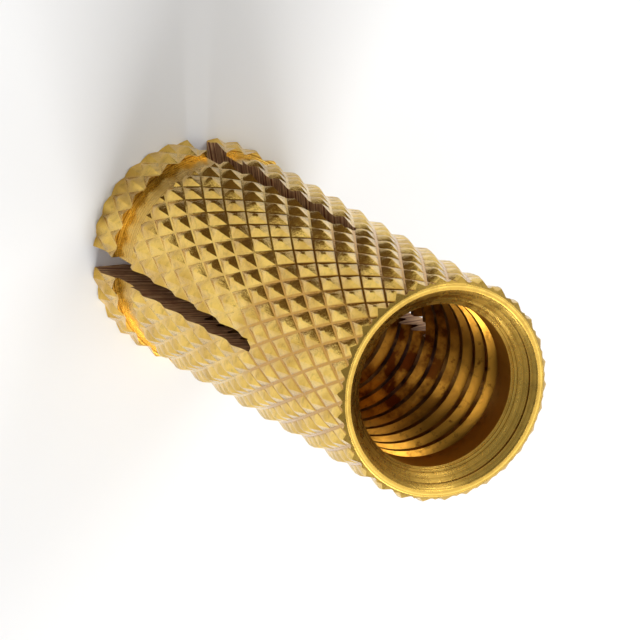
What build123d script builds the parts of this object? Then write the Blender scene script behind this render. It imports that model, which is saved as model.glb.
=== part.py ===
from build123d import *
import os

# Brass expansion anchor: a turned, knurled and tapped sleeve, sawn into four legs at
# one end. A bolt driven down the thread reaches the narrowing bore between the legs
# and forces them apart in a drilled hole. It is one piece of metal, so one solid.
#
# Frame: +Z runs along the bore to its mouth. The origin is in the middle of the
# slotted end, on the plane that the four tips stand on.
#
# The outside is the envelope over the crests of the knurl, and the bore is the hole
# that the thread is cut from: the knurl and the thread are fine surface forms.

# Driving dimensions, millimetres

length = 32.0                   # mouth face to the tips of the legs
thread_diameter = 10.0          # over the thread's roots: it takes an M10 bolt
thread_depth = 0.7              # depth of the thread in the bore it is cut from
wall = 1.0                      # brass between the thread's roots and the knurl's crests
splay = 0.35                    # how far out each tip stands from the body's line

mouth_chamfer = 0.4             # outer edge of the mouth, at 45 degrees
counterbore_depth = 0.45        # plain ring above the thread, as wide as its roots
counterbore_chamfer = 0.3       # inner edge of the mouth, at 45 degrees

thread_end_depth = 19.5         # mouth face to the place where the bore starts to narrow
tip_narrowing = 0.6             # how far the bore closes in by the tips, on each side
tip_bore_chamfer = 0.3

slot_length = 21.0              # tips to the root of the slots, at the axis
slot_root_width = 0.75          # thickness of the slitting saw
slot_tip_width = 1.05           # the same slot at the tips, opened by the splay
saw_diameter = 60.0             # the root of each slot is an arc of the saw
leg_turn = 45.0                 # turn of the first slot about Z, so legs lie on X and Y

end_band_width = 2.8            # knurled band on the tips
neck_width = 2.2                # plain turned neck above that band
neck_depth = 0.4                # depth of the neck under the crests
tip_chamfer = 0.25              # outer edge of the tips

# Sizes that follow

counterbore_radius = thread_diameter / 2
thread_radius = counterbore_radius - thread_depth      # the bore before it is tapped
body_radius = counterbore_radius + wall
tip_bore_radius = thread_radius - tip_narrowing
neck_top = end_band_width + neck_width
thread_top = length - counterbore_depth - thread_depth # under a 45 degree lead-in
thread_bottom = length - thread_end_depth
saw_radius = saw_diameter / 2
cut_reach = 2 * body_radius                            # well clear of the splayed tips


def splayed(radius, height):
    """Radius of a leg's outside at a height, bent outwards from the root of the slots."""
    return radius + splay * max(0.0, 1 - height / slot_length)


# One saw cut across the whole diameter. Seen along the cut it is a slot that widens
# to the tips. Seen from its side it ends in an arc of the saw.

with BuildPart() as saw_cut:
    with BuildSketch(Plane.YZ):
        with BuildLine():
            Polyline(
                (-slot_tip_width / 2, 0),
                (slot_tip_width / 2, 0),
                (slot_root_width / 2, slot_length),
                (-slot_root_width / 2, slot_length),
                close=True,
            )
        make_face()
    extrude(amount=cut_reach, both=True)
    with BuildSketch(Plane.XZ):
        with Locations((0, slot_length - saw_radius)):
            Circle(saw_radius)
    extrude(amount=cut_reach, both=True, mode=Mode.INTERSECT)

# The sleeve: half of its section turned about the axis, then the two saw cuts.

with BuildPart() as anchor_sleeve:
    with BuildSketch(Plane.XZ):
        with BuildLine():
            Polyline(
                (tip_bore_radius + tip_bore_chamfer, 0),
                (splayed(body_radius, 0) - tip_chamfer, 0),
                (splayed(body_radius, tip_chamfer), tip_chamfer),
                (splayed(body_radius, end_band_width), end_band_width),
                (splayed(body_radius, end_band_width) - neck_depth, end_band_width),
                (splayed(body_radius, neck_top) - neck_depth, neck_top),
                (splayed(body_radius, neck_top), neck_top),
                (body_radius, slot_length),
                (body_radius, length - mouth_chamfer),
                (body_radius - mouth_chamfer, length),
                (counterbore_radius + counterbore_chamfer, length),
                (counterbore_radius, length - counterbore_chamfer),
                (counterbore_radius, length - counterbore_depth),
                (thread_radius, thread_top),
                (thread_radius, thread_bottom),
                (tip_bore_radius, tip_bore_chamfer),
                close=True,
            )
        make_face()
    revolve(axis=Axis.Z)
    for turn in (leg_turn, leg_turn + 90):
        add(saw_cut.part, rotation=(0, 0, turn), mode=Mode.SUBTRACT)

anchor_sleeve.part.label = "anchor_sleeve"

os.makedirs("parts", exist_ok=True)
export_step(anchor_sleeve.part, "parts/anchor_sleeve.step")
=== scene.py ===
"""Looks of a brass expansion anchor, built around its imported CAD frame.

The sleeve is made in the order that a shop makes it: a blank is turned, its outside is
rolled between knurling wheels, the bore is tapped, two saw cuts part the far end into
four legs, and the legs are set a little outwards.
"""

import math

import bpy
import numpy as np
from bpy.props import FloatProperty, FloatVectorProperty, IntProperty, PointerProperty
from mathutils import Matrix, Vector


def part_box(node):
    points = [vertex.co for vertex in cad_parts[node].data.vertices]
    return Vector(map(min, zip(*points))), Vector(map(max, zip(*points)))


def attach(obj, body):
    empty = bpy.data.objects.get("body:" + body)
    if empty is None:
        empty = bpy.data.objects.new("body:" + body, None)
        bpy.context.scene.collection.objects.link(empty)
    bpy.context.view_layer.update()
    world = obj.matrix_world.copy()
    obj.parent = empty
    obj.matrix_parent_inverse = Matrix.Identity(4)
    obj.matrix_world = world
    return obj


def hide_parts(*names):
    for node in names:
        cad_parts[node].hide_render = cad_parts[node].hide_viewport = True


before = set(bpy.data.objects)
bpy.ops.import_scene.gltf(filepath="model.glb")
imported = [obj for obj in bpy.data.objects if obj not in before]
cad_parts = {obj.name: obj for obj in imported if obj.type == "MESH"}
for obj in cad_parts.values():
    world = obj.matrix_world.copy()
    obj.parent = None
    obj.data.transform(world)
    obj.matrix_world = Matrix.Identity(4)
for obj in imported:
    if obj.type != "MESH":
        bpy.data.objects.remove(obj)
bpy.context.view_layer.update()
CAD_LOW, CAD_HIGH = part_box("anchor_sleeve")

bl_info = {
    "name": "Brass expansion anchor",
    "version": (1, 0, 0),
    "blender": (4, 5, 0),
    "location": "3D View > Sidebar > Anchor",
    "description": "Knurled, tapped and slotted brass sleeve with its studio stage",
    "category": "Object",
}

MM = 0.001
WELD = 0.0005 * MM          # vertices nearer than this are one vertex
ANCHOR_LENGTH = CAD_HIGH[2] - CAD_LOW[2]
SKIN = 0.02 * MM            # the blank stands this far proud of the knurl's crests

# Kinds of node that the trees use most, and what they are set to.
MATH = "ShaderNodeMath"
RANGE = "ShaderNodeMapRange"
MIX = "ShaderNodeMix"
COLOURS = {"data_type": "RGBA"}
ADD = {"operation": "ADD"}
SUBTRACT = {"operation": "SUBTRACT"}
MULTIPLY = {"operation": "MULTIPLY"}
DIVIDE = {"operation": "DIVIDE"}
POWER = {"operation": "POWER"}
MINIMUM = {"operation": "MINIMUM"}
MAXIMUM = {"operation": "MAXIMUM"}
FLOOR = {"operation": "FLOOR"}
MODULO = {"operation": "MODULO"}
SINE = {"operation": "SINE"}
COSINE = {"operation": "COSINE"}
GREATER_THAN = {"operation": "GREATER_THAN"}


# --- Settings -------------------------------------------------------------------------


def size(label, description, millimetres):
    """A length property with its default given in millimetres."""
    return FloatProperty(
        name=label, description=description, default=millimetres * MM,
        min=0.0, unit="LENGTH", precision=5,
    )


def angle(label, description, degrees):
    """An angle property with its default given in degrees."""
    return FloatProperty(name=label, description=description, default=math.radians(degrees), subtype="ANGLE")


def colour(label, description, hex_code):
    """A colour property with its default given as sRGB hex."""
    return FloatVectorProperty(
        name=label, description=description, default=linear(hex_code),
        size=4, min=0.0, max=1.0, subtype="COLOR",
    )


def linear(hex_code):
    """Linear RGBA of an sRGB hex colour such as 'd9b45a'."""
    channels = [int(hex_code[i:i + 2], 16) / 255 for i in (0, 2, 4)]
    return tuple(c / 12.92 if c <= 0.04045 else ((c + 0.055) / 1.055) ** 2.4 for c in channels) + (1.0,)


class TurnedSizes(bpy.types.PropertyGroup):
    """The turned blank: everything the lathe cuts."""

    length: size("Length", "Mouth face to the tips of the legs", ANCHOR_LENGTH / MM)
    body_radius: size("Body radius", "Over the crests of the knurl", 6.0)
    mouth_chamfer: size("Mouth chamfer", "45 degree edge outside the mouth", 0.4)
    mouth_lead: size("Mouth lead", "45 degree edge inside the mouth", 0.3)
    counterbore_radius: size("Counterbore radius", "Plain ring above the thread", 5.0)
    counterbore_depth: size("Counterbore depth", "Mouth face to the bottom of the plain ring", 0.45)
    bore_radius: size("Bore radius", "Bore that the thread is cut from", 4.3)
    bore_depth: size("Bore depth", "Mouth face to where the bore starts to close in", 19.5)
    tip_bore_radius: size("Tip bore radius", "Bore between the tips", 3.7)
    tip_lead: size("Tip lead", "45 degree edge inside the tips", 0.3)
    band_width: size("End band", "Width of the knurled band on the tips", 2.8)
    neck_width: size("Neck width", "Plain turned neck beside the end band", 2.2)
    neck_depth: size("Neck depth", "Depth of the neck under the crests", 0.46)
    tip_chamfer: size("Tip chamfer", "Edge outside the tips", 0.25)
    edge_radius: size("Edge radius", "How far the turned edges are broken", 0.045)


class KnurlSizes(bpy.types.PropertyGroup):
    """The diamond knurl: two sets of crossing V grooves."""

    grooves: IntProperty(name="Grooves", description="Grooves of each hand, counted round", default=30, min=6)
    repeat: size("Repeat", "Length of one diamond along the axis", 2.85)
    depth: size("Depth", "Crest to groove", 0.27)
    phase: angle("Phase", "Turn of the first diamond", 0.0)
    shift: size("Shift", "Height of the first row of diamonds", 1.425)
    variation: FloatProperty(
        name="Variation", description="How unevenly the tips filled", default=0.12, min=0.0, max=1.0,
    )
    seed: IntProperty(name="Seed", description="Seed of that unevenness", default=4)


class ThreadSizes(bpy.types.PropertyGroup):
    """The right-hand metric thread in the bore."""

    major_radius: size("Major radius", "Roots of the thread", 5.0)
    pitch: size("Pitch", "Axial distance from turn to turn", 1.5)
    start_depth: size("Start depth", "Mouth face to the first full groove", 2.3)
    phase: angle("Phase", "Turn of the thread's start", 0.0)


class SlotSizes(bpy.types.PropertyGroup):
    """The two saw cuts and the set of the legs."""

    length: size("Slot length", "Tips to the root of the slots", 21.0)
    width: size("Slot width", "Thickness of the slitting saw", 0.75)
    saw_radius: size("Saw radius", "Radius of the slitting saw", 30.0)
    splay: size("Splay", "How far each tip is set outwards", 0.35)


class BrassColours(bpy.types.PropertyGroup):
    """Colours of the brass where it is bright and where it has darkened; the groove and stain colours also
    serve as painted shade, and the warm one carries painted bounce light.
    """

    bright: colour("Bright brass", "Freshly worked brass", "ebc664")
    deep: colour("Deep brass", "Brass that has dulled", "a97a26")
    groove: colour("Groove brass", "Brass at the bottom of the knurl", "c0903a")
    # Groove brass stands for painted shade at the bottom of the knurl, as well as grime.
    grime: colour("Grime", "Grey-brown film on the facets", "7f6128")
    # Warm brass carries painted bounce light: the bore's brass is given a deeper orange for light bounced
    # round inside it.
    bounce_warmed_brass: colour("Warm brass", "Brass inside the bore", "cf9436")
    # Stain is brown patina, and also painted shade in the thread's roots and down the bore.
    patina_and_shade: colour("Stain", "Brown patina in the thread", "481f06")
    sawn: colour("Sawn brass", "Torn metal on the saw cuts", "f2cf9c")
    sawn_deep: colour("Scored brass", "Deeper scores of the saw", "84502e")


class ViewSettings(bpy.types.PropertyGroup):
    """Where the camera stands and how it is turned."""

    azimuth: angle("Azimuth", "Camera's turn about Z from +X", -77.0)
    elevation: angle("Elevation", "Camera's height over the level", 61.3)
    roll: angle("Roll", "Turn about the line of sight", -119.95)
    distance: size("Distance", "Camera to the point it is aimed at", 343.0)
    aim_above: size("Aim height", "Aimed at this height over the sleeve's middle", 0.9)
    aim_aside: FloatProperty(
        name="Aim aside", description="Camera's shift along its own right", default=-0.09 * MM,
        unit="LENGTH", precision=5,
    )
    lens: FloatProperty(
        name="Lens", description="Focal length in millimetres on a 36 mm sensor", default=363.5, min=10.0,
    )


class AnchorSettings(bpy.types.PropertyGroup):
    """All settings of the brass expansion anchor."""

    turned: PointerProperty(type=TurnedSizes)
    knurl: PointerProperty(type=KnurlSizes)
    thread: PointerProperty(type=ThreadSizes)
    slots: PointerProperty(type=SlotSizes)
    colours: PointerProperty(type=BrassColours)
    view: PointerProperty(type=ViewSettings)


# --- Small helpers --------------------------------------------------------------------


def into(tree, socket, value):
    """Feeds an input from a socket, from a node's output in use, or with a plain value."""
    if isinstance(value, bpy.types.Node):
        value = next(output for output in value.outputs if output.enabled)
    if isinstance(value, bpy.types.NodeSocket):
        tree.links.new(value, socket)
    else:
        socket.default_value = value


def add(tree, kind, settings=None, *values, **links):
    """Adds a node to a tree, with its settings and its inputs.

    Settings are the node's own attributes. Values fill its inputs in their order. Each link is
    an input's name, with spaces as underscores, or in_0, in_1 for one told by its place.
    """
    node = tree.nodes.new(kind)
    for key, value in (settings or {}).items():
        setattr(node, key, value)
    in_use = [socket for socket in node.inputs if socket.enabled]
    for socket, value in zip(in_use, values):
        into(tree, socket, value)
    for key, value in links.items():
        if key.startswith("in_"):
            into(tree, node.inputs[int(key[3:])], value)
        else:
            name = key.replace("_", " ")
            into(tree, next(socket for socket in in_use if socket.name == name), value)
    return node


def node_tree(name, inputs):
    """A geometry tree with the given inputs: name, socket type and default."""
    tree = bpy.data.node_groups.new(name, "GeometryNodeTree")
    for label, kind, default in inputs:
        socket = tree.interface.new_socket(name=label, in_out="INPUT", socket_type=kind)
        if default is not None:
            socket.default_value = default
    tree.interface.new_socket(name="Geometry", in_out="OUTPUT", socket_type="NodeSocketGeometry")
    return tree, tree.nodes.new("NodeGroupInput"), tree.nodes.new("NodeGroupOutput")


def finish_tree(tree, output, geometry, material):
    """Ends a tree: instances are made real and get their material."""
    real = add(tree, "GeometryNodeRealizeInstances", Geometry=geometry)
    painted = add(tree, "GeometryNodeSetMaterial", Geometry=real.outputs[0], Material=material)
    tree.links.new(painted.outputs[0], output.inputs[0])


def made_by_nodes(name, tree, values):
    """A plain mesh object that a geometry tree makes with the given input values."""
    host = bpy.data.objects.new(name, bpy.data.meshes.new(name))
    bpy.context.scene.collection.objects.link(host)
    modifier = host.modifiers.new(name, "NODES")
    modifier.node_group = tree
    for item in tree.interface.items_tree:
        if item.in_out == "INPUT" and item.name in values:
            modifier[item.identifier] = values[item.name]
    return evaluated_copy(host)


def evaluated_copy(host):
    """Replaces an object's mesh with its evaluated one and takes its modifiers off."""
    depsgraph = bpy.context.evaluated_depsgraph_get()
    mesh = bpy.data.meshes.new_from_object(host.evaluated_get(depsgraph), depsgraph=depsgraph)
    host.modifiers.clear()
    old = host.data
    host.data = mesh
    mesh.name = host.name
    bpy.data.meshes.remove(old)
    return host


def mesh_object(name, points, faces, material):
    """A new object at the origin with the given points, faces and one material."""
    mesh = bpy.data.meshes.new(name)
    mesh.from_pydata([tuple(p) for p in points], [], faces)
    mesh.materials.append(material)
    mesh.validate()
    host = bpy.data.objects.new(name, mesh)
    bpy.context.scene.collection.objects.link(host)
    return host


# --- The turned blank -----------------------------------------------------------------


def broken_corner(before, corner, after, radius, steps=3):
    """Points of a small arc that breaks the corner of an outline."""
    corner = np.array(corner)
    to_before = np.array(before) - corner
    to_after = np.array(after) - corner
    to_before /= np.linalg.norm(to_before)
    to_after /= np.linalg.norm(to_after)
    half = 0.5 * math.acos(np.clip(np.dot(to_before, to_after), -1, 1))
    start = corner + to_before * radius / math.tan(half)
    end = corner + to_after * radius / math.tan(half)
    centre = corner + (to_before + to_after) / np.linalg.norm(to_before + to_after) * radius / math.sin(half)
    points = []
    for i in range(steps + 1):
        way = start + (end - start) * i / steps - centre
        points.append(centre + way / np.linalg.norm(way) * radius)
    return points


def blank_outline(s):
    """Half section of the blank as (radius, height), with its broken edges."""
    rim = s.body_radius + SKIN
    neck_top = s.band_width + s.neck_width
    cone = s.counterbore_radius - s.bore_radius
    corners = [
        (s.tip_bore_radius + s.tip_lead, 0.0, False),
        (rim - s.tip_chamfer, 0.0, True),
        (rim, s.tip_chamfer, False),
        (rim, s.band_width, False),
        (s.body_radius - s.neck_depth, s.band_width, False),
        (s.body_radius - s.neck_depth, neck_top, False),
        (rim, neck_top, False),
        (rim, s.length - s.mouth_chamfer, False),
        (rim - s.mouth_chamfer, s.length, True),
        (s.counterbore_radius + s.mouth_lead, s.length, True),
        (s.counterbore_radius, s.length - s.mouth_lead, True),
        (s.counterbore_radius, s.length - s.counterbore_depth, False),
        (s.bore_radius, s.length - s.counterbore_depth - cone, True),
        (s.bore_radius, s.length - s.bore_depth, False),
        (s.tip_bore_radius, s.tip_lead, False),
    ]
    outline = []
    for i, (radius, height, broken) in enumerate(corners):
        if broken:
            before = corners[i - 1][:2]
            after = corners[(i + 1) % len(corners)][:2]
            outline += broken_corner(before, (radius, height), after, s.edge_radius)
        else:
            outline.append((radius, height))
    return np.array(outline)


def turned_blank(s, materials, segments=240):
    """The blank: its outline turned about Z, with the bore in its own finish."""
    outline = blank_outline(s)
    count = len(outline)
    angles = np.arange(segments) * 2 * math.pi / segments
    points = [
        (r * math.cos(a), r * math.sin(a), z)
        for a in angles
        for r, z in outline
    ]
    faces = []
    for i in range(segments):
        near, far = i * count, (i + 1) % segments * count
        for j in range(count):
            k = (j + 1) % count
            faces.append((near + j, far + j, far + k, near + k))
    blank = mesh_object("blank", points, faces, materials["turned"])
    blank.data.materials.append(materials["tapped"])
    bore_limit = s.bore_radius + 0.01 * MM
    lead_limit = s.tip_lead * 2 / 3
    for face in blank.data.polygons:
        centre = face.center
        if math.hypot(centre.x, centre.y) < bore_limit and centre.z > lead_limit:
            face.material_index = 1
    return blank


# --- The knurl ------------------------------------------------------------------------


def knurl_tree():
    """Geometry tree of a knurled bar: one four-sided pyramid repeated round and along it."""
    tree, given, output = node_tree("Knurled bar", [
        ("Crest Radius", "NodeSocketFloat", 6.0 * MM),
        ("Depth", "NodeSocketFloat", 0.38 * MM),
        ("Grooves", "NodeSocketInt", 30),
        ("Repeat", "NodeSocketFloat", 2.85 * MM),
        ("Rows", "NodeSocketInt", 26),
        ("Phase", "NodeSocketFloat", 0.0),
        ("Shift", "NodeSocketFloat", 0.0),
        ("Variation", "NodeSocketFloat", 0.1),
        ("Seed", "NodeSocketInt", 1),
        ("Material", "NodeSocketMaterial", None),
    ])
    value = given.outputs

    # One pyramid, corner to corner 2 by 2 units and 1 unit high, with a narrow groove
    # floor around it, steep sides, and a shallow crown where the bar's skin didn't fill up.
    cone = add(
        tree, "GeometryNodeMeshCone", {"fill_type": "NGON"},
        Vertices=4, Side_Segments=8, Fill_Segments=1, Radius_Top=0.0, Radius_Bottom=1.0, Depth=1.0,
    )
    open_cone = add(
        tree, "GeometryNodeDeleteGeometry", {"domain": "FACE"},
        Geometry=cone.outputs["Mesh"], Selection=cone.outputs["Bottom"],
    )
    place = add(tree, "GeometryNodeInputPosition").outputs[0]
    part = add(tree, "ShaderNodeSeparateXYZ", in_0=place).outputs
    climb = part[2]
    inset = add(tree, MATH, POWER, climb, 1.1)
    spread = add(tree, MATH, MAXIMUM, add(tree, MATH, SUBTRACT, 1.0, inset), 0.06)
    old_spread = add(tree, MATH, MAXIMUM, add(tree, MATH, SUBTRACT, 1.0, climb), 1e-4)
    widen = add(tree, MATH, DIVIDE, spread, old_spread)
    floor = 0.1
    shoulder = 0.85
    rise = add(tree, RANGE, None, inset, floor, shoulder, 0.0, 0.94)
    rise = add(tree, MATH, ADD, rise, add(tree, RANGE, None, inset, shoulder, 1.0, 0.0, 0.06))
    shaped = add(
        tree, "GeometryNodeSetPosition", Geometry=open_cone.outputs[0],
        Position=add(
            tree, "ShaderNodeCombineXYZ",
            X=add(tree, MATH, MULTIPLY, part[0], widen), Y=add(tree, MATH, MULTIPLY, part[1], widen), Z=rise,
        ).outputs[0],
    )

    # Lattice points: every other row is offset by half a diamond.
    count = add(tree, MATH, MULTIPLY, value["Grooves"], value["Rows"])
    index = add(tree, "GeometryNodeInputIndex").outputs[0]
    row = add(tree, MATH, FLOOR, add(tree, MATH, DIVIDE, add(tree, MATH, ADD, index, 0.5), value["Grooves"]))
    column = add(tree, MATH, SUBTRACT, index, add(tree, MATH, MULTIPLY, row, value["Grooves"]))
    stagger = add(tree, MATH, MODULO, row, 2.0)
    lattice = add(
        tree, "GeometryNodePoints", Count=count,
        Position=add(
            tree, "ShaderNodeCombineXYZ",
            X=add(tree, MATH, ADD, add(tree, MATH, MULTIPLY, column, 2.0), stagger), Y=row, Z=0.0,
        ).outputs[0],
    )
    uneven = add(
        tree, "FunctionNodeRandomValue", {"data_type": "FLOAT"},
        Min=0.0, Max=1.0, Seed=value["Seed"],
    )
    tagged = add(
        tree, "GeometryNodeStoreNamedAttribute", {"data_type": "FLOAT", "domain": "POINT"},
        Geometry=lattice.outputs[0], Name="tip_loss", Value=uneven.outputs["Value"],
    )
    diamonds = add(
        tree, "GeometryNodeInstanceOnPoints",
        Points=tagged.outputs[0], Instance=shaped.outputs[0],
    )
    flat = add(tree, "GeometryNodeRealizeInstances", Geometry=diamonds.outputs[0])

    # Wrapped round the bar: X becomes the turn, Y the height and Z the radius.
    place = add(tree, "GeometryNodeInputPosition").outputs[0]
    part = add(tree, "ShaderNodeSeparateXYZ", in_0=place).outputs
    loss = add(tree, "GeometryNodeInputNamedAttribute", {"data_type": "FLOAT"}, Name="tip_loss").outputs[0]
    step = add(tree, MATH, DIVIDE, math.pi, value["Grooves"])
    turn = add(tree, MATH, ADD, add(tree, MATH, MULTIPLY, part[0], step), value["Phase"])
    half_repeat = add(tree, MATH, MULTIPLY, value["Repeat"], 0.5)
    rows_up = add(tree, MATH, SUBTRACT, part[1], 1.0)
    height = add(tree, MATH, ADD, add(tree, MATH, MULTIPLY, rows_up, half_repeat), value["Shift"])
    kept = add(tree, MATH, SUBTRACT, 1.0, add(tree, MATH, MULTIPLY, loss, value["Variation"]))
    lift = add(tree, MATH, MULTIPLY, add(tree, MATH, MULTIPLY, part[2], kept), value["Depth"])
    radius = add(tree, MATH, ADD, add(tree, MATH, SUBTRACT, value["Crest Radius"], value["Depth"]), lift)
    wrapped = add(
        tree, "GeometryNodeSetPosition", Geometry=flat.outputs[0],
        Position=add(
            tree, "ShaderNodeCombineXYZ",
            X=add(tree, MATH, MULTIPLY, radius, add(tree, MATH, COSINE, turn)),
            Y=add(tree, MATH, MULTIPLY, radius, add(tree, MATH, SINE, turn)),
            Z=height,
        ).outputs[0],
    )
    welded = add(tree, "GeometryNodeMergeByDistance", Geometry=wrapped.outputs[0], Distance=WELD)

    # Both ragged ends are closed to a point on the axis.
    neighbours = add(tree, "GeometryNodeInputMeshEdgeNeighbors").outputs[0]
    rim = add(
        tree, "FunctionNodeCompare", {"data_type": "INT", "operation": "EQUAL"},
        in_2=neighbours, in_3=1,
    ).outputs[0]
    drawn = add(
        tree, "GeometryNodeExtrudeMesh", {"mode": "EDGES"},
        Mesh=welded.outputs[0], Selection=rim, Offset_Scale=0.0,
    )
    place = add(tree, "GeometryNodeInputPosition").outputs[0]
    own_height = add(tree, "ShaderNodeSeparateXYZ", in_0=place).outputs[2]
    top = add(tree, MATH, MULTIPLY, value["Rows"], half_repeat)
    at_top = add(tree, MATH, GREATER_THAN, own_height, add(tree, MATH, MULTIPLY, top, 0.5))
    closed = add(
        tree, "GeometryNodeSetPosition", Geometry=drawn.outputs["Mesh"], Selection=drawn.outputs["Top"],
        Position=add(
            tree, "ShaderNodeCombineXYZ",
            X=0.0, Y=0.0, Z=add(tree, MATH, MULTIPLY, at_top, top),
        ).outputs[0],
    )
    solid = add(tree, "GeometryNodeMergeByDistance", Geometry=closed.outputs[0], Distance=WELD)
    finish_tree(tree, output, solid.outputs[0], value["Material"])
    return tree


# --- The thread -----------------------------------------------------------------------


def thread_tree():
    """Geometry tree of a tap's cut: one tooth swept up a right-handed spiral."""
    tree, given, output = node_tree("Thread cut", [
        ("Base Radius", "NodeSocketFloat", 4.2 * MM),
        ("Root Radius", "NodeSocketFloat", 5.0 * MM),
        ("Pitch", "NodeSocketFloat", 1.5 * MM),
        ("Turns", "NodeSocketFloat", 18.0),
        ("Bottom", "NodeSocketFloat", 0.0),
        ("Phase", "NodeSocketFloat", 0.0),
        ("Material", "NodeSocketMaterial", None),
    ])
    value = given.outputs
    spiral = add(
        tree, "GeometryNodeCurveSpiral",
        Resolution=96, Rotations=value["Turns"],
        Start_Radius=value["Base Radius"], End_Radius=value["Base Radius"],
        Height=add(tree, MATH, MULTIPLY, value["Pitch"], value["Turns"]), Reverse=True,
    )
    upright = add(tree, "GeometryNodeSetCurveNormal", {"mode": "Z_UP"}, in_0=spiral.outputs[0])

    # The tooth sinks into the bore over its last turn, as a tap's lead does.
    along = add(tree, "GeometryNodeSplineParameter").outputs["Factor"]
    turns_left = add(tree, MATH, MULTIPLY, add(tree, MATH, SUBTRACT, 1.0, along), value["Turns"])
    fade = add(tree, MATH, MAXIMUM, add(tree, MATH, MINIMUM, turns_left, 1.0), 0.05)
    faded = add(tree, "GeometryNodeSetCurveRadius", Curve=upright.outputs[0], Radius=fade)

    mouth_share = 0.82          # of the pitch, where the groove opens into the bore
    root_share = 0.16           # of the pitch, at the bottom of the groove
    reach = add(tree, MATH, SUBTRACT, value["Root Radius"], value["Base Radius"])
    tooth = add(
        tree, "GeometryNodeCurvePrimitiveQuadrilateral", {"mode": "TRAPEZOID"},
        Bottom_Width=add(tree, MATH, MULTIPLY, value["Pitch"], mouth_share),
        Top_Width=add(tree, MATH, MULTIPLY, value["Pitch"], root_share),
        Offset=0.0, Height=reach,
    )
    turned = add(
        tree, "GeometryNodeTransform", Geometry=tooth.outputs[0],
        Rotation=(0.0, 0.0, math.radians(-90.0)),
        Translation=add(tree, "ShaderNodeCombineXYZ", X=add(tree, MATH, MULTIPLY, reach, 0.5), Y=0.0, Z=0.0),
    )
    swept = add(
        tree, "GeometryNodeCurveToMesh",
        Curve=faded.outputs[0], Profile_Curve=turned.outputs[0], Fill_Caps=True,
    )
    placed = add(
        tree, "GeometryNodeTransform", Geometry=swept.outputs[0],
        Translation=add(tree, "ShaderNodeCombineXYZ", X=0.0, Y=0.0, Z=value["Bottom"]).outputs[0],
        Rotation=add(tree, "ShaderNodeCombineXYZ", X=0.0, Y=0.0, Z=value["Phase"]).outputs[0],
    )
    finish_tree(tree, output, placed.outputs[0], value["Material"])
    return tree


# --- The saw cuts ---------------------------------------------------------------------


def saw_disc(s, turn, material, segments=360):
    """A slitting saw's disc, standing on edge under the sleeve and reaching up into it."""
    centre = s.length - s.saw_radius
    direction = np.array([math.cos(turn), math.sin(turn)])
    across = np.array([-math.sin(turn), math.cos(turn)]) * s.width / 2
    points = []
    for side in (-1, 1):
        for i in range(segments):
            a = 2 * math.pi * i / segments
            flat = direction * s.saw_radius * math.cos(a) + across * side
            points.append((flat[0], flat[1], centre + s.saw_radius * math.sin(a)))
    near = list(range(segments))
    far = list(range(segments, 2 * segments))
    faces = [near, far[::-1]]
    for i in range(segments):
        k = (i + 1) % segments
        faces.append((near[k], near[i], far[i], far[k]))
    return mesh_object("saw_disc", points, faces, material)


# --- The sleeve -----------------------------------------------------------------------


def cut(blank, tool, operation):
    """Applies one tool to the blank and throws the tool away."""
    modifier = blank.modifiers.new(tool.name, "BOOLEAN")
    modifier.operation = operation
    modifier.solver = "MANIFOLD"
    modifier.material_mode = "TRANSFER"
    modifier.object = tool
    evaluated_copy(blank)
    bpy.data.objects.remove(tool)


def set_legs(sleeve, s):
    """Leans each leg outwards from the root of the slots."""
    points = np.empty(len(sleeve.data.vertices) * 3)
    sleeve.data.vertices.foreach_get("co", points)
    points = points.reshape(-1, 3)
    lean = s.splay * np.clip(1 - points[:, 2] / s.length, 0, None)
    on_x = np.abs(points[:, 0]) > np.abs(points[:, 1])
    points[:, 0] += np.where(on_x, np.sign(points[:, 0]) * lean, 0)
    points[:, 1] += np.where(on_x, 0, np.sign(points[:, 1]) * lean)
    sleeve.data.vertices.foreach_set("co", points.ravel())


# --- Finishes -------------------------------------------------------------------------


def metal(name, roughness):
    """A new material with one Principled BSDF set up as bare metal."""
    material = bpy.data.materials.new(name)
    material.use_nodes = True
    tree = material.node_tree
    shader = tree.nodes["Principled BSDF"]
    shader.inputs["Metallic"].default_value = 1.0
    shader.inputs["Roughness"].default_value = roughness
    return material, tree, shader


def mottling(tree, patch, detail=3.0):
    """Uneven patches of about the given size, on the sleeve's own coordinates."""
    return add(
        tree, "ShaderNodeTexNoise", Vector=own_place(tree), Scale=1.0 / patch, Detail=detail, Roughness=0.6,
    ).outputs["Fac"]


def own_place(tree):
    """Object coordinates of the point being shaded."""
    return add(tree, "ShaderNodeTexCoord").outputs["Object"]


def own_radius(tree):
    """Distance from the sleeve's axis."""
    flat = add(tree, "ShaderNodeVectorMath", MULTIPLY, in_0=own_place(tree), in_1=(1.0, 1.0, 0.0))
    return add(tree, "ShaderNodeVectorMath", {"operation": "LENGTH"}, in_0=flat.outputs[0]).outputs["Value"]


def own_height(tree):
    """Height over the tips."""
    return add(tree, "ShaderNodeSeparateXYZ", in_0=own_place(tree)).outputs[2]


def tool_marks(tree, way, spacing):
    """Uneven scores side by side: noise that changes only along the given length."""
    return add(
        tree, "ShaderNodeTexNoise", {"noise_dimensions": "1D"},
        W=way, Scale=1.0 / spacing, Detail=2.0, Roughness=0.6,
    ).outputs["Fac"]


def raised(tree, shader, pattern, height):
    """Turns a pattern into relief of the given real height on a finish."""
    relief = add(tree, "ShaderNodeBump", Height=pattern, Distance=height, Strength=1.0)
    into(tree, shader.inputs["Normal"], relief)


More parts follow.
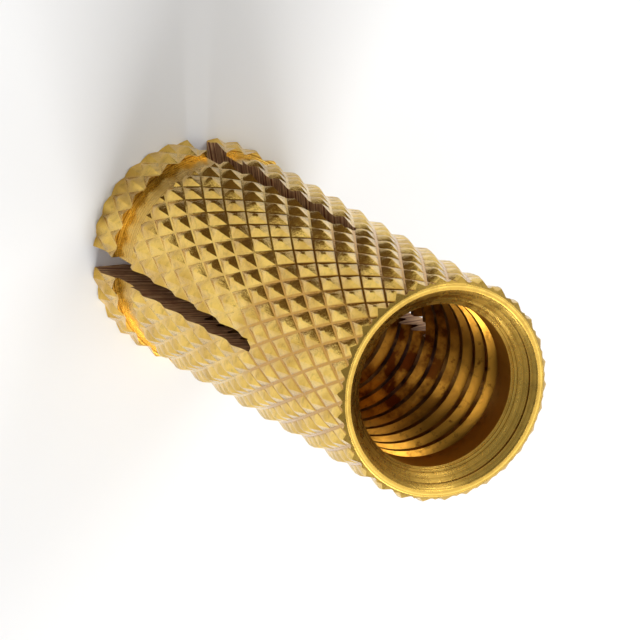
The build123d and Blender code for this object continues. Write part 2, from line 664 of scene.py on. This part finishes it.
def knurled_brass(c, turned, knurl):
    """Cold-rolled brass: burnished facets, and a darker colour at the bottom of the grooves, which is painted
    shade as well as grime.
    """
    material, tree, shader = metal("knurled_brass", 0.2)
    root = turned.body_radius - knurl.depth
    # Painted shade, with grime: near the knurl's root radius the colour turns to the darker groove brass.
    clear_of_groove_shade = add(tree, RANGE, None, own_radius(tree), root + 0.005 * MM, root + 0.035 * MM)
    dulled = add(tree, RANGE, None, mottling(tree, 1.8 * MM), 0.4, 0.62, 0.0, 0.45)
    worn = add(tree, MIX, COLOURS, dulled, tuple(c.bright), tuple(c.deep))
    specks = add(tree, RANGE, None, mottling(tree, 0.35 * MM, 4.0), 0.52, 0.68, 0.0, 0.3)
    grimy = add(tree, MIX, COLOURS, specks, worn, tuple(c.grime))
    into(tree, shader.inputs["Base Color"], add(tree, MIX, COLOURS, clear_of_groove_shade, tuple(c.groove), grimy))
    polish = add(tree, RANGE, None, mottling(tree, 0.4 * MM), 0.3, 0.7, 0.1, 0.26)
    into(tree, shader.inputs["Roughness"], polish)
    raised(tree, shader, mottling(tree, 0.25 * MM, 4.0), 0.022 * MM)
    return material


def turned_brass(c):
    """Lathe-cut brass: satin, with fine tool marks that run round the axis.

    Real marks of this feed are about 0.05 mm apart, too fine to show, so they are twice as coarse.
    """
    material, tree, shader = metal("turned_brass", 0.26)
    along_outline = add(tree, MATH, ADD, own_radius(tree), own_height(tree))
    marks = tool_marks(tree, along_outline, 0.09 * MM)
    lit = add(tree, RANGE, None, marks, 0.35, 0.7)
    worn = add(tree, MIX, COLOURS, lit, tuple(c.bright), tuple(c.deep))
    tarnish = add(tree, RANGE, None, mottling(tree, 0.9 * MM, 4.0), 0.5, 0.72, 0.0, 0.3)
    into(tree, shader.inputs["Base Color"], add(tree, MIX, COLOURS, tarnish, worn, tuple(c.grime)))
    satin = add(tree, RANGE, None, mottling(tree, 0.5 * MM), 0.3, 0.7, 0.2, 0.36)
    into(tree, shader.inputs["Roughness"], satin)
    raised(tree, shader, marks, 0.012 * MM)
    return material


def tapped_brass(c, turned, thread):
    """Tapped brass: bright, warm crests that carry painted bounce light, painted shade in the roots and
    further down the bore, and brown patina in clouds and blots down the bore.
    """
    material, tree, shader = metal("tapped_brass", 0.32)
    height = own_height(tree)
    mouth = turned.length
    # Painted shade: the colour darkens from the thread's crests towards its roots.
    root_shade = add(
        tree, RANGE, None, own_radius(tree), turned.bore_radius + 0.1 * MM, thread.major_radius - 0.05 * MM,
    )
    # Painted shade that deepens down the bore from the mouth, broken up by clouds of patina.
    deep_bore_shade = add(tree, RANGE, None, height, mouth - 3.5 * MM, mouth - 10.0 * MM)
    cloud = add(tree, RANGE, None, mottling(tree, 1.6 * MM, 4.0), 0.4, 0.58)
    past_mouth = add(tree, RANGE, None, height, mouth - 2.0 * MM, mouth - 4.0 * MM, 0.1, 1.0)
    spots = add(tree, RANGE, None, mottling(tree, 0.5 * MM, 5.0), 0.5, 0.68)
    blots = add(tree, MATH, MULTIPLY, spots, past_mouth)
    thickness = add(tree, MATH, ADD, add(tree, MATH, MULTIPLY, cloud, 0.65), 0.35)
    bore_shade_and_patina = add(tree, MATH, MULTIPLY, deep_bore_shade, thickness)
    patina_and_shade = add(tree, MATH, MAXIMUM, add(tree, MATH, MULTIPLY, root_shade, 0.9), bore_shade_and_patina)
    patina_and_shade = add(tree, MATH, MAXIMUM, patina_and_shade, add(tree, MATH, MULTIPLY, blots, 0.8))
    # The crests take the warm brass with its painted bounce light, and painted shade and patina turn it
    # brown.
    into(tree, shader.inputs["Base Color"], add(tree, MIX, COLOURS, patina_and_shade, tuple(c.bounce_warmed_brass), tuple(c.patina_and_shade)))
    dullness = add(tree, RANGE, None, height, mouth - 3.5 * MM, mouth - 2.0 * MM, 0.3, 0.5)
    into(tree, shader.inputs["Roughness"], dullness)
    raised(tree, shader, mottling(tree, 0.2 * MM), 0.008 * MM)
    return material


def sawn_brass(c, slots):
    """Sawn brass: dull, and scored along the arcs that the saw's teeth ran on."""
    material, tree, shader = metal("sawn_brass", 0.65)
    centre = (0.0, 0.0, slots.length - slots.saw_radius)
    arc = add(
        tree, "ShaderNodeVectorMath", {"operation": "DISTANCE"}, in_0=own_place(tree), in_1=centre,
    ).outputs["Value"]
    scores = tool_marks(tree, arc, 0.26 * MM)
    scored = add(
        tree, MIX, COLOURS, add(tree, RANGE, None, scores, 0.35, 0.65), tuple(c.sawn), tuple(c.sawn_deep),
    )
    stained = add(tree, RANGE, None, mottling(tree, 0.9 * MM, 4.0), 0.4, 0.65, 0.0, 0.6)
    into(tree, shader.inputs["Base Color"], add(tree, MIX, COLOURS, stained, scored, tuple(c.sawn_deep)))
    raised(tree, shader, scores, 0.05 * MM)
    return material


# --- Operators ------------------------------------------------------------------------


class ANCHOR_OT_sleeve(bpy.types.Operator):
    """Turn, knurl, tap, saw and set the brass sleeve"""

    bl_idname = "anchor.sleeve"
    bl_label = "Sleeve"

    def execute(self, context):
        s = context.scene.anchor
        turned, knurl, thread, slots = s.turned, s.knurl, s.thread, s.slots
        finishes = {
            "knurled": knurled_brass(s.colours, turned, knurl),
            "turned": turned_brass(s.colours),
            "tapped": tapped_brass(s.colours, turned, thread),
            "sawn": sawn_brass(s.colours, slots),
        }
        sleeve = turned_blank(turned, finishes)
        sleeve.name = "brass_sleeve"
        rows = 2 * math.ceil((turned.length + 2 * knurl.repeat) / knurl.repeat)
        bar = made_by_nodes("knurled_bar", knurl_tree(), {
            "Crest Radius": turned.body_radius,
            "Depth": knurl.depth,
            "Grooves": knurl.grooves,
            "Repeat": knurl.repeat,
            "Rows": rows,
            "Phase": knurl.phase,
            "Shift": knurl.shift - knurl.repeat,
            "Variation": knurl.variation,
            "Seed": knurl.seed,
            "Material": finishes["knurled"],
        })
        cut(sleeve, bar, "INTERSECT")
        turns = math.floor((turned.bore_depth - thread.start_depth) / thread.pitch) + 1
        tap = made_by_nodes("tap", thread_tree(), {
            "Base Radius": turned.bore_radius - 0.1 * MM,
            "Root Radius": thread.major_radius,
            "Pitch": thread.pitch,
            "Turns": float(turns),
            "Bottom": turned.length - thread.start_depth - turns * thread.pitch,
            "Phase": thread.phase,
            "Material": finishes["tapped"],
        })
        cut(sleeve, tap, "DIFFERENCE")
        for turn in (math.radians(45), math.radians(135)):
            cut(sleeve, saw_disc(slots, turn, finishes["sawn"]), "DIFFERENCE")
        set_legs(sleeve, slots)
        knurled = sleeve.data.materials.find("knurled_brass")
        for face in sleeve.data.polygons:
            face.use_smooth = face.material_index != knurled
        sleeve.data.set_sharp_from_angle(angle=math.radians(24))
        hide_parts("anchor_sleeve")
        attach(sleeve, "root")
        return {"FINISHED"}


class ANCHOR_OT_stage(bpy.types.Operator):
    """Set out the floor, the soft light and the camera"""

    bl_idname = "anchor.stage"
    bl_label = "Stage"

    def execute(self, context):
        view = context.scene.anchor.view
        middle = Vector((0.0, 0.0, (CAD_LOW[2] + CAD_HIGH[2]) / 2))
        pale_floor(CAD_LOW[2])
        dark_flag(CAD_LOW[2])
        studio_world()
        for light in SOFTBOXES:
            softbox(middle, *light)
        photo_camera(view, middle)
        context.scene.view_settings.view_transform = "Standard"
        return {"FINISHED"}


# name, azimuth and elevation in degrees, distance, width, height in metres, watts
SOFTBOXES = (
    ("key_softbox", 42.0, 42.0, 0.30, 0.16, 0.16, 0.72),
    ("fill_softbox", -170.0, 42.0, 0.30, 0.12, 0.16, 0.26),
    ("top_softbox", 100.0, 60.0, 0.30, 0.22, 0.16, 0.16),
    ("front_softbox", -55.0, 70.0, 0.30, 0.10, 0.10, 0.12),
)


def direction(azimuth, elevation):
    """Unit vector for an azimuth from +X and an elevation, both in radians."""
    return Vector((
        math.cos(elevation) * math.cos(azimuth), math.cos(elevation) * math.sin(azimuth), math.sin(elevation),
    ))


def softbox(middle, name, azimuth, elevation, distance, width, height, watts):
    """A rectangular area lamp aimed at the middle of the sleeve."""
    lamp = bpy.data.lights.new(name, "AREA")
    lamp.shape = "RECTANGLE"
    lamp.size = width
    lamp.size_y = height
    lamp.energy = watts
    host = bpy.data.objects.new(name, lamp)
    way = direction(math.radians(azimuth), math.radians(elevation))
    host.location = middle + way * distance
    host.rotation_euler = way.to_track_quat("Z", "Y").to_euler()
    bpy.context.scene.collection.objects.link(host)


def pale_floor(height):
    """A wide white floor under the tips."""
    half = 2.0
    floor_material = bpy.data.materials.new("white_paper")
    floor_material.use_nodes = True
    shader = floor_material.node_tree.nodes["Principled BSDF"]
    shader.inputs["Base Color"].default_value = linear("f7f7f7")
    shader.inputs["Roughness"].default_value = 0.9
    corners = [(-half, -half, height), (half, -half, height), (half, half, height), (-half, half, height)]
    floor = mesh_object("paper_floor", corners, [(0, 1, 2, 3)], floor_material)


def dark_flag(height):
    """A dark card on the floor in front of the sleeve.

    It is out of the camera's sight and throws no shadow. Only the bright metal mirrors it,
    which parts the facets of the knurl into light and dark ones.
    """
    card = bpy.data.materials.new("dark_card")
    card.use_nodes = True
    shader = card.node_tree.nodes["Principled BSDF"]
    shader.inputs["Base Color"].default_value = linear("6a5538")
    shader.inputs["Roughness"].default_value = 0.9
    corners = []
    for reach, azimuth in ((9, -146), (32, -146), (36, -122), (34, -98), (9, -98)):
        way = direction(math.radians(azimuth), 0.0) * reach * MM
        corners.append((way.x, way.y, height + 0.2 * MM))
    flag = mesh_object("dark_flag", corners, [tuple(range(len(corners)))], card)
    flag.visible_camera = False
    flag.visible_shadow = False
    flag.visible_diffuse = False


def studio_world():
    """A white sweep round the horizon under a dimmer ceiling."""
    world = bpy.data.worlds.new("studio")
    bpy.context.scene.world = world
    world.use_nodes = True
    tree = world.node_tree
    background = tree.nodes["Background"]
    place = add(tree, "ShaderNodeTexCoord").outputs["Generated"]
    climb = add(tree, "ShaderNodeSeparateXYZ", in_0=place).outputs[2]
    level = add(tree, RANGE, None, climb, 0.05, 0.7, 0.6, 0.15)
    into(tree, background.inputs["Color"], level)
    background.inputs["Strength"].default_value = 1.0


def photo_camera(view, middle):
    """The camera: its place round the sleeve, its roll about the line of sight, its lens."""
    way = direction(view.azimuth, view.elevation)
    forward = -way
    level_up = (Vector((0, 0, 1)) - forward * forward.z).normalized()
    level_side = forward.cross(level_up)
    up = level_up * math.cos(view.roll) + level_side * math.sin(view.roll)
    right = forward.cross(up)
    data = bpy.data.cameras.new("camera")
    data.lens = view.lens
    data.clip_start = 0.01
    camera = bpy.data.objects.new("camera", data)
    aim = middle + Vector((0, 0, view.aim_above)) + right * view.aim_aside
    turn = Matrix((right, up, -forward)).transposed().to_4x4()
    camera.matrix_world = Matrix.Translation(aim + way * view.distance) @ turn
    bpy.context.scene.collection.objects.link(camera)
    bpy.context.scene.camera = camera


class ANCHOR_PT_panel(bpy.types.Panel):
    """Sidebar panel with the anchor's operators and settings"""

    bl_label = "Brass expansion anchor"
    bl_idname = "ANCHOR_PT_panel"
    bl_space_type = "VIEW_3D"
    bl_region_type = "UI"
    bl_category = "Anchor"

    def draw(self, context):
        layout = self.layout
        layout.operator(ANCHOR_OT_sleeve.bl_idname)
        layout.operator(ANCHOR_OT_stage.bl_idname)
        for group_name in AnchorSettings.__annotations__:
            group = getattr(context.scene.anchor, group_name)
            box = layout.box()
            box.label(text=group_name.capitalize())
            for key in type(group).__annotations__:
                box.prop(group, key)


CLASSES = (
    TurnedSizes, KnurlSizes, ThreadSizes, SlotSizes, BrassColours, ViewSettings, AnchorSettings,
    ANCHOR_OT_sleeve, ANCHOR_OT_stage, ANCHOR_PT_panel,
)


def register():
    for cls in CLASSES:
        bpy.utils.register_class(cls)
    bpy.types.Scene.anchor = PointerProperty(type=AnchorSettings)


def unregister():
    del bpy.types.Scene.anchor
    for cls in reversed(CLASSES):
        bpy.utils.unregister_class(cls)


def main():
    register()
    bpy.ops.anchor.sleeve()
    bpy.ops.anchor.stage()


if __name__ == "__main__":
    main()
